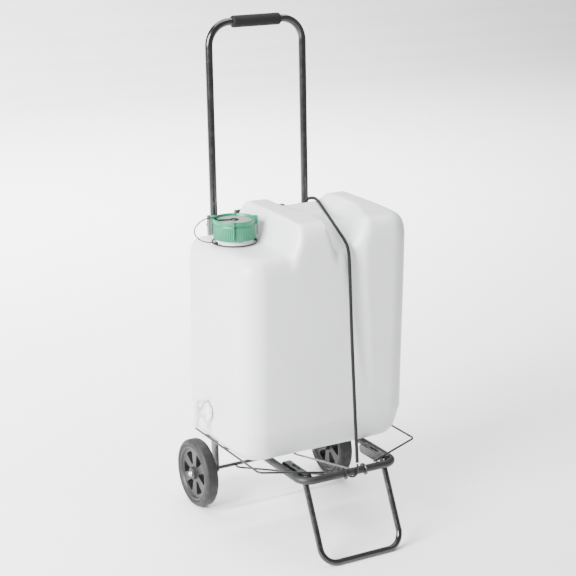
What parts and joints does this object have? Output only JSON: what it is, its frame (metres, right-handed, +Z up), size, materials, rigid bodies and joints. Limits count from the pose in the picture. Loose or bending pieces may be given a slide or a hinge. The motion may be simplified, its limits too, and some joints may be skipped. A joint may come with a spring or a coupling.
{
  "type": "portable waste tote",
  "caption": "Folding wheeled trolley with telescopic handle and fold-down leg, carrying a translucent waste canister with screw cap, drain tap and elastic strap.",
  "frame": {"origin": "middle of the object's base, on the ground", "axes": "+Z up; +X along the axle, the cap and tap are on the -X side; -Y to the front, where the folding leg stands"},
  "size_m": [0.4427, 0.4914, 1.0572],
  "materials": {
    "black_powder_coated_steel": "gloss powder coat",
    "black_coated_wire": "satin coating",
    "zinc_plated_steel": "zinc plated",
    "black_moulded_plastic": "matt moulded",
    "black_wheel_tread": "matt",
    "black_grip_sleeve": "soft foam",
    "black_elastic_cord": "braided sleeve",
    "black_soft_plastic": "soft moulded",
    "black_rubber": "matt",
    "natural_polyethylene": "translucent, lightly textured",
    "green_moulded_plastic": "satin moulded",
    "white_moulded_plastic": "satin moulded"
  },
  "bodies": {
    "frame": {"outer_tube_left": "black_powder_coated_steel", "outer_tube_right": "black_powder_coated_steel", "axle_plate_left": "black_powder_coated_steel", "axle_plate_right": "black_powder_coated_steel", "inner_plate_left": "black_powder_coated_steel", "inner_plate_right": "black_powder_coated_steel", "pivot_pin_left": "zinc_plated_steel", "pivot_pin_right": "zinc_plated_steel", "frame_rivet_left": "zinc_plated_steel", "frame_rivet_right": "zinc_plated_steel", "axle_spacer_left": "black_moulded_plastic", "axle_spacer_right": "black_moulded_plastic", "axle": "black_powder_coated_steel", "axle_cap_left": "zinc_plated_steel", "axle_cap_right": "zinc_plated_steel", "top_bridge": "black_moulded_plastic", "bungee_hook_rear": "black_soft_plastic"},
    "wheel_left": {"wheel_tyre_left": "black_wheel_tread", "wheel_hub_left": "black_moulded_plastic"},
    "wheel_right": {"wheel_tyre_right": "black_wheel_tread", "wheel_hub_right": "black_moulded_plastic"},
    "handle": {"handle_tube": "black_powder_coated_steel", "handle_grip": "black_grip_sleeve"},
    "button_left": {"release_button_left": "black_moulded_plastic"},
    "button_right": {"release_button_right": "black_moulded_plastic"},
    "platform": {"platform_frame": "black_powder_coated_steel", "rail_end_left": "black_moulded_plastic", "rail_end_right": "black_moulded_plastic", "rail_pad_left": "black_moulded_plastic", "rail_pad_right": "black_moulded_plastic", "leg_channel_left": "black_powder_coated_steel", "leg_channel_right": "black_powder_coated_steel", "leg_pin_left": "zinc_plated_steel", "leg_pin_right": "zinc_plated_steel", "wire_rack": "black_coated_wire", "stay_wire_left": "black_coated_wire", "stay_wire_right": "black_coated_wire", "bungee_hook_front": "black_soft_plastic"},
    "leg": {"front_leg": "black_powder_coated_steel"},
    "canister_body": {"canister": "natural_polyethylene", "tap_body": "white_moulded_plastic", "tap_washer": "black_rubber", "tap_inner_nut": "white_moulded_plastic", "tether_ring": "black_soft_plastic", "tether_connector": "black_soft_plastic", "tether_cord": "black_soft_plastic", "bungee_cord": "black_elastic_cord"},
    "cap_swivel": {"cap_gasket": "black_rubber", "tether_button": "black_soft_plastic"},
    "cap": {"screw_cap": "green_moulded_plastic"},
    "tap": {"tap_lever": "white_moulded_plastic"}
  },
  "joints": [
    {"name": "wheel_spin_left", "type": "hinge", "parent": "frame", "child": "wheel_left", "pos_m": [-0.1465, 0.1707, 0.075], "axis": [1, 0, 0], "continuous": true},
    {"name": "wheel_spin_right", "type": "hinge", "parent": "frame", "child": "wheel_right", "pos_m": [0.1935, 0.1707, 0.075], "axis": [1, 0, 0], "continuous": true},
    {"name": "handle_slide", "type": "slide", "parent": "frame", "child": "handle", "axis": [0, 0.0365, 0.9993], "range_m": [-0.33, 0]},
    {"name": "release_left", "type": "slide", "parent": "frame", "child": "button_left", "axis": [0, -0.9993, 0.0365], "range_m": [0, 0.0035], "stiffness_N_per_m": 400},
    {"name": "release_right", "type": "slide", "parent": "frame", "child": "button_right", "axis": [0, -0.9993, 0.0365], "range_m": [0, 0.0035], "stiffness_N_per_m": 400},
    {"name": "canister_lift", "type": "slide", "parent": "frame", "child": "canister_body", "axis": [0, 0, 1], "range_m": [0, 0.6], "deforming": ["bungee_cord"]},
    {"name": "platform_fold", "type": "hinge", "parent": "frame", "child": "platform", "pos_m": [0.0235, 0.1447, 0.17], "axis": [-1, 0, 0], "range_deg": [0, 90]},
    {"name": "leg_fold", "type": "hinge", "parent": "platform", "child": "leg", "pos_m": [0.0235, -0.1603, 0.166], "axis": [1, 0, 0], "range_deg": [0, 92]},
    {"name": "cap_lift", "type": "slide", "parent": "canister_body", "child": "cap_swivel", "axis": [0, 0, 1], "range_m": [0, 0.012], "deforming": ["tether_cord"]},
    {"name": "cap_turn", "type": "hinge", "parent": "cap_swivel", "child": "cap", "pos_m": [-0.114, 0.0507, 0.66], "axis": [0, 0, 1], "range_deg": [0, 720]},
    {"name": "tap_turn", "type": "hinge", "parent": "canister_body", "child": "tap", "pos_m": [-0.2085, 0.0557, 0.262], "axis": [0, 0, 1], "range_deg": [0, 90]}
  ],
  "couplings": [
    {"joint": "platform_fold", "follows": "canister_lift", "rad_per_m": 2.618},
    {"joint": "cap_lift", "follows": "cap_turn", "m_per_rad": 0.0009549}
  ]
}
